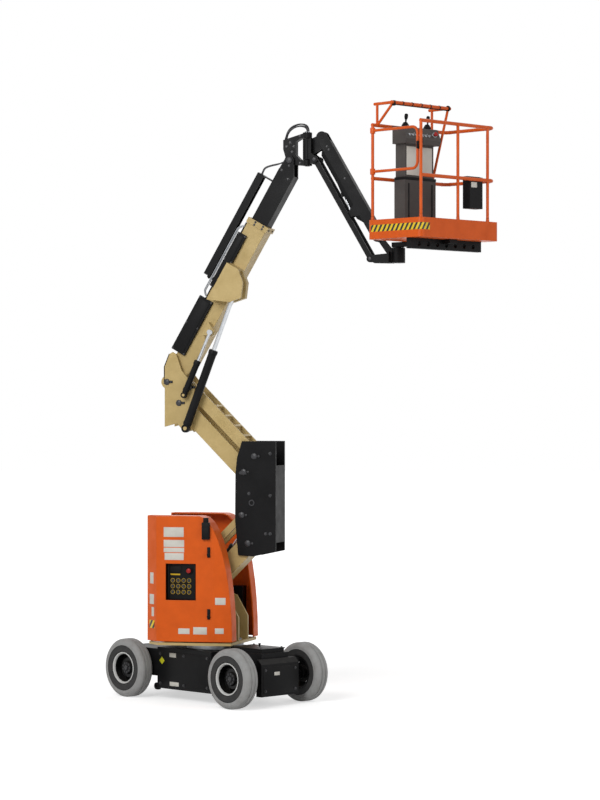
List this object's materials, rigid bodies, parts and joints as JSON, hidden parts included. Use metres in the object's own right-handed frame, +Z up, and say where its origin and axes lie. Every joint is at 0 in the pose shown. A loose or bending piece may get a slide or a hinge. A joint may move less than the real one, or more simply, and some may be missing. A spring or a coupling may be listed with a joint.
{
  "type": "articulating boom lift",
  "caption": "Narrow electric articulating boom lift with raised folding tower, telescopic boom, swinging jib and a railed work platform.",
  "frame": {"origin": "on the ground under the middle of the machine's box in the pose of the picture", "axes": "+X towards the steered end of the chassis, +Z up, +Y to the far side of the picture"},
  "size_m": [3.8645, 2.2494, 6.3437],
  "materials": {
    "black_paint": "semi-gloss black paint",
    "rim_paint": "black painted wheel",
    "tyre_grey": "grey non-marking rubber",
    "steel": "machined steel",
    "chrome_rod": "hard chrome",
    "cream_paint": "cream enamel",
    "orange_shell": "moulded orange hood",
    "orange_paint": "orange powder coat",
    "black_plastic": "black textured plastic",
    "grey_plastic": "grey moulded plastic"
  },
  "bodies": {
    "chassis": {"chassis_frame": "black_paint", "front_frame": "black_paint", "front_bumper": "black_paint", "rear_axle": "black_paint", "front_axle": "black_paint", "slew_ring": "steel"},
    "knuckle_near": {"knuckle_near": "black_paint"},
    "knuckle_far": {"knuckle_far": "black_paint"},
    "tie_rod": {"tie_rod": "steel"},
    "wheel_rear_near": {"tyre_rear_near": "tyre_grey", "rim_rear_near": "rim_paint"},
    "wheel_rear_far": {"tyre_rear_far": "tyre_grey", "rim_rear_far": "rim_paint"},
    "wheel_front_near": {"tyre_front_near": "tyre_grey", "rim_front_near": "rim_paint"},
    "wheel_front_far": {"tyre_front_far": "tyre_grey", "rim_front_far": "rim_paint"},
    "turntable": {"turntable": "cream_paint", "counterweight": "black_paint", "battery_blocks": "black_plastic", "ground_controls": "black_plastic"},
    "hood_near": {"hood_near": "orange_shell"},
    "hood_far": {"hood_far": "orange_shell"},
    "lower_boom": {"lower_boom": "cream_paint"},
    "lower_link": {"lower_link": "cream_paint"},
    "lower_upright": {"lower_upright": "black_paint"},
    "tower_barrel": {"tower_barrel": "black_paint"},
    "tower_rod": {"tower_rod": "chrome_rod"},
    "mid_boom": {"mid_boom": "cream_paint"},
    "mid_link": {"mid_link": "cream_paint"},
    "upper_upright": {"upper_upright": "cream_paint"},
    "main_boom": {"main_boom": "cream_paint", "boom_covers": "black_plastic"},
    "lift_barrel": {"lift_barrel": "black_paint"},
    "lift_rod": {"lift_rod": "chrome_rod"},
    "level_barrel": {"level_barrel": "black_paint"},
    "level_rod": {"level_rod": "chrome_rod"},
    "fly_boom": {"fly_boom": "black_paint", "track_tube": "black_plastic"},
    "track_chain": {"track_chain": "grey_plastic"},
    "jib_head": {"jib_head": "black_paint"},
    "jib_swivel": {"jib_swivel": "black_paint"},
    "jib_arm": {"jib_arm": "black_paint"},
    "jib_links": {"jib_links": "black_paint"},
    "jib_barrel": {"jib_barrel": "black_paint"},
    "jib_rod": {"jib_rod": "chrome_rod"},
    "jib_end": {"jib_end": "black_paint"},
    "platform": {"platform_support": "black_paint", "platform_floor": "orange_paint", "platform_rails": "orange_paint", "console": "grey_plastic", "guard_hoop": "orange_paint", "document_box": "black_plastic"},
    "gate": {"gate": "orange_paint"}
  },
  "joints": [
    {"name": "wheel_rear_near", "type": "hinge", "parent": "chassis", "child": "wheel_rear_near", "pos_m": [-1.61475, -0.94229, 0.3175], "axis": [0, 1, 0], "continuous": true},
    {"name": "wheel_rear_far", "type": "hinge", "parent": "chassis", "child": "wheel_rear_far", "pos_m": [-1.61475, 0.09971, 0.3175], "axis": [0, 1, 0], "continuous": true},
    {"name": "wheel_front_near", "type": "hinge", "parent": "knuckle_near", "child": "wheel_front_near", "pos_m": [0.03525, -0.94229, 0.3175], "axis": [0, 1, 0], "continuous": true},
    {"name": "wheel_front_far", "type": "hinge", "parent": "knuckle_far", "child": "wheel_front_far", "pos_m": [0.03525, 0.09971, 0.3175], "axis": [0, 1, 0], "continuous": true},
    {"name": "steer", "type": "hinge", "parent": "chassis", "child": "knuckle_near", "pos_m": [0.03525, -0.80629, 0.3175], "axis": [0, 0, 1], "range_deg": [-40, 40]},
    {"name": "steer_far", "type": "hinge", "parent": "chassis", "child": "knuckle_far", "pos_m": [0.03525, -0.03628, 0.3175], "axis": [0, 0, 1], "range_deg": [-40, 40]},
    {"name": "tie_rod_turn", "type": "hinge", "parent": "knuckle_near", "child": "tie_rod", "pos_m": [-0.11475, -0.80629, 0.2335], "axis": [0, 0, 1], "range_deg": [-40, 40]},
    {"name": "slew", "type": "hinge", "parent": "chassis", "child": "turntable", "pos_m": [-0.78975, -0.42129, 0.56], "axis": [0, 0, 1], "range_deg": [-202, 148]},
    {"name": "hood_near_open", "type": "hinge", "parent": "turntable", "child": "hood_near", "pos_m": [-1.12494, -1.041, 0.645], "axis": [0, 0, -1], "range_deg": [0, 70]},
    {"name": "hood_far_open", "type": "hinge", "parent": "turntable", "child": "hood_far", "pos_m": [-1.48813, -0.3282, 0.645], "axis": [0, 0, 1], "range_deg": [0, 70]},
    {"name": "tower_lift", "type": "hinge", "parent": "turntable", "child": "lower_boom", "pos_m": [-1.08735, -0.57292, 0.936], "axis": [0.454, -0.891, 0], "range_deg": [-45, 26]},
    {"name": "lower_link_turn", "type": "hinge", "parent": "turntable", "child": "lower_link", "pos_m": [-1.14972, -0.6047, 1.239], "axis": [0.454, -0.891, 0], "range_deg": [-45, 26]},
    {"name": "lower_upright_turn", "type": "hinge", "parent": "lower_boom", "child": "lower_upright", "pos_m": [-0.40691, -0.22622, 1.69968], "axis": [0.454, -0.891, 0], "range_deg": [-26, 45]},
    {"name": "tower_barrel_turn", "type": "hinge", "parent": "turntable", "child": "tower_barrel", "pos_m": [-1.02498, -0.54114, 0.996], "axis": [0.454, -0.891, 0], "range_deg": [-44.69, 25.82]},
    {"name": "tower_rod_slide", "type": "slide", "parent": "tower_barrel", "child": "tower_rod", "axis": [0.5196, 0.2647, 0.8124], "range_m": [-0.127, 0.0734]},
    {"name": "mid_boom_turn", "type": "hinge", "parent": "lower_upright", "child": "mid_boom", "pos_m": [-0.44878, -0.24755, 2.46568], "axis": [0.454, -0.891, 0], "range_deg": [-26, 45]},
    {"name": "mid_link_turn", "type": "hinge", "parent": "lower_upright", "child": "mid_link", "pos_m": [-0.34186, -0.19307, 2.63568], "axis": [0.454, -0.891, 0], "range_deg": [-26, 45]},
    {"name": "upper_upright_turn", "type": "hinge", "parent": "mid_boom", "child": "upper_upright", "pos_m": [-1.11032, -0.58462, 3.20814], "axis": [0.454, -0.891, 0], "range_deg": [-45, 26]},
    {"name": "main_lift", "type": "hinge", "parent": "upper_upright", "child": "main_boom", "pos_m": [-1.23506, -0.64818, 3.43614], "axis": [-0.454, 0.891, 0], "range_deg": [-13, 60]},
    {"name": "lift_barrel_turn", "type": "hinge", "parent": "upper_upright", "child": "lift_barrel", "pos_m": [-0.91865, -0.73612, 2.93314], "axis": [-0.454, 0.891, 0], "range_deg": [-10.86, 50.13]},
    {"name": "lift_rod_slide", "type": "slide", "parent": "lift_barrel", "child": "lift_rod", "axis": [0.3177, 0.1619, 0.9343], "range_m": [-0.5265, 0.1141]},
    {"name": "level_barrel_turn", "type": "hinge", "parent": "upper_upright", "child": "level_barrel", "pos_m": [-0.93826, -0.74611, 3.29314], "axis": [-0.454, 0.891, 0], "range_deg": [-14.43, 66.61]},
    {"name": "level_rod_slide", "type": "slide", "parent": "level_barrel", "child": "level_rod", "axis": [0.357, 0.1819, 0.9162], "range_m": [-0.248, 0.0537]},
    {"name": "telescope", "type": "slide", "parent": "main_boom", "child": "fly_boom", "axis": [0.4455, 0.227, 0.866], "range_m": [-0.42, 0.78]},
    {"name": "track_chain_slide", "type": "slide", "parent": "main_boom", "child": "track_chain", "axis": [0.4455, 0.227, 0.866], "range_m": [-0.21, 0.39]},
    {"name": "jib_head_level", "type": "hinge", "parent": "fly_boom", "child": "jib_head", "pos_m": [-0.01305, -0.02554, 5.81165], "axis": [-0.454, 0.891, 0], "range_deg": [-60, 13]},
    {"name": "jib_swing", "type": "hinge", "parent": "jib_head", "child": "jib_swivel", "pos_m": [0.14733, 0.05618, 5.75165], "axis": [0, 0, 1], "range_deg": [-90, 90]},
    {"name": "jib_lift", "type": "hinge", "parent": "jib_swivel", "child": "jib_arm", "pos_m": [0.30326, 0.13563, 6.05165], "axis": [0.454, -0.891, 0], "range_deg": [0, 144]},
    {"name": "jib_links_turn", "type": "hinge", "parent": "jib_swivel", "child": "jib_links", "pos_m": [0.24445, 0.10567, 5.81165], "axis": [0.454, -0.891, 0], "range_deg": [0, 144]},
    {"name": "jib_end_level", "type": "hinge", "parent": "jib_arm", "child": "jib_end", "pos_m": [0.85568, 0.4171, 4.97777], "axis": [0.454, -0.891, 0], "range_deg": [-144, 0]},
    {"name": "jib_barrel_turn", "type": "hinge", "parent": "jib_swivel", "child": "jib_barrel", "pos_m": [0.31217, 0.14017, 5.96165], "axis": [0.454, -0.891, 0], "range_deg": [0, 146.77]},
    {"name": "jib_rod_slide", "type": "slide", "parent": "jib_barrel", "child": "jib_rod", "axis": [0.3524, 0.1796, -0.9185], "range_m": [0, 0.1663]},
    {"name": "platform_rotate", "type": "hinge", "parent": "jib_end", "child": "platform", "pos_m": [1.04725, 0.51471, 4.90977], "axis": [0, 0, -1], "range_deg": [-117, 63]},
    {"name": "gate_open", "type": "hinge", "parent": "platform", "child": "gate", "pos_m": [1.21325, -0.05429, 5.54477], "axis": [0, 0, 1], "range_deg": [0, 48]}
  ],
  "couplings": [
    {"joint": "steer_far", "follows": "steer", "ratio": 1},
    {"joint": "tie_rod_turn", "follows": "steer", "ratio": -1},
    {"joint": "lower_link_turn", "follows": "tower_lift", "ratio": 1},
    {"joint": "lower_upright_turn", "follows": "tower_lift", "ratio": -1},
    {"joint": "tower_barrel_turn", "follows": "tower_lift", "ratio": 0.99306},
    {"joint": "tower_rod_slide", "follows": "tower_lift", "m_per_rad": 0.16176},
    {"joint": "mid_boom_turn", "follows": "tower_lift", "ratio": -1},
    {"joint": "mid_link_turn", "follows": "tower_lift", "ratio": -1},
    {"joint": "upper_upright_turn", "follows": "tower_lift", "ratio": 1},
    {"joint": "lift_barrel_turn", "follows": "main_lift", "ratio": 0.83546},
    {"joint": "lift_rod_slide", "follows": "main_lift", "m_per_rad": -0.50279},
    {"joint": "level_barrel_turn", "follows": "main_lift", "ratio": 1.1102},
    {"joint": "level_rod_slide", "follows": "main_lift", "m_per_rad": -0.23678},
    {"joint": "track_chain_slide", "follows": "telescope", "ratio": 0.5},
    {"joint": "jib_head_level", "follows": "main_lift", "ratio": -1},
    {"joint": "jib_links_turn", "follows": "jib_lift", "ratio": 1},
    {"joint": "jib_end_level", "follows": "jib_lift", "ratio": -1},
    {"joint": "jib_barrel_turn", "follows": "jib_lift", "ratio": 1.0193},
    {"joint": "jib_rod_slide", "follows": "jib_lift", "m_per_rad": 0.06619}
  ]
}
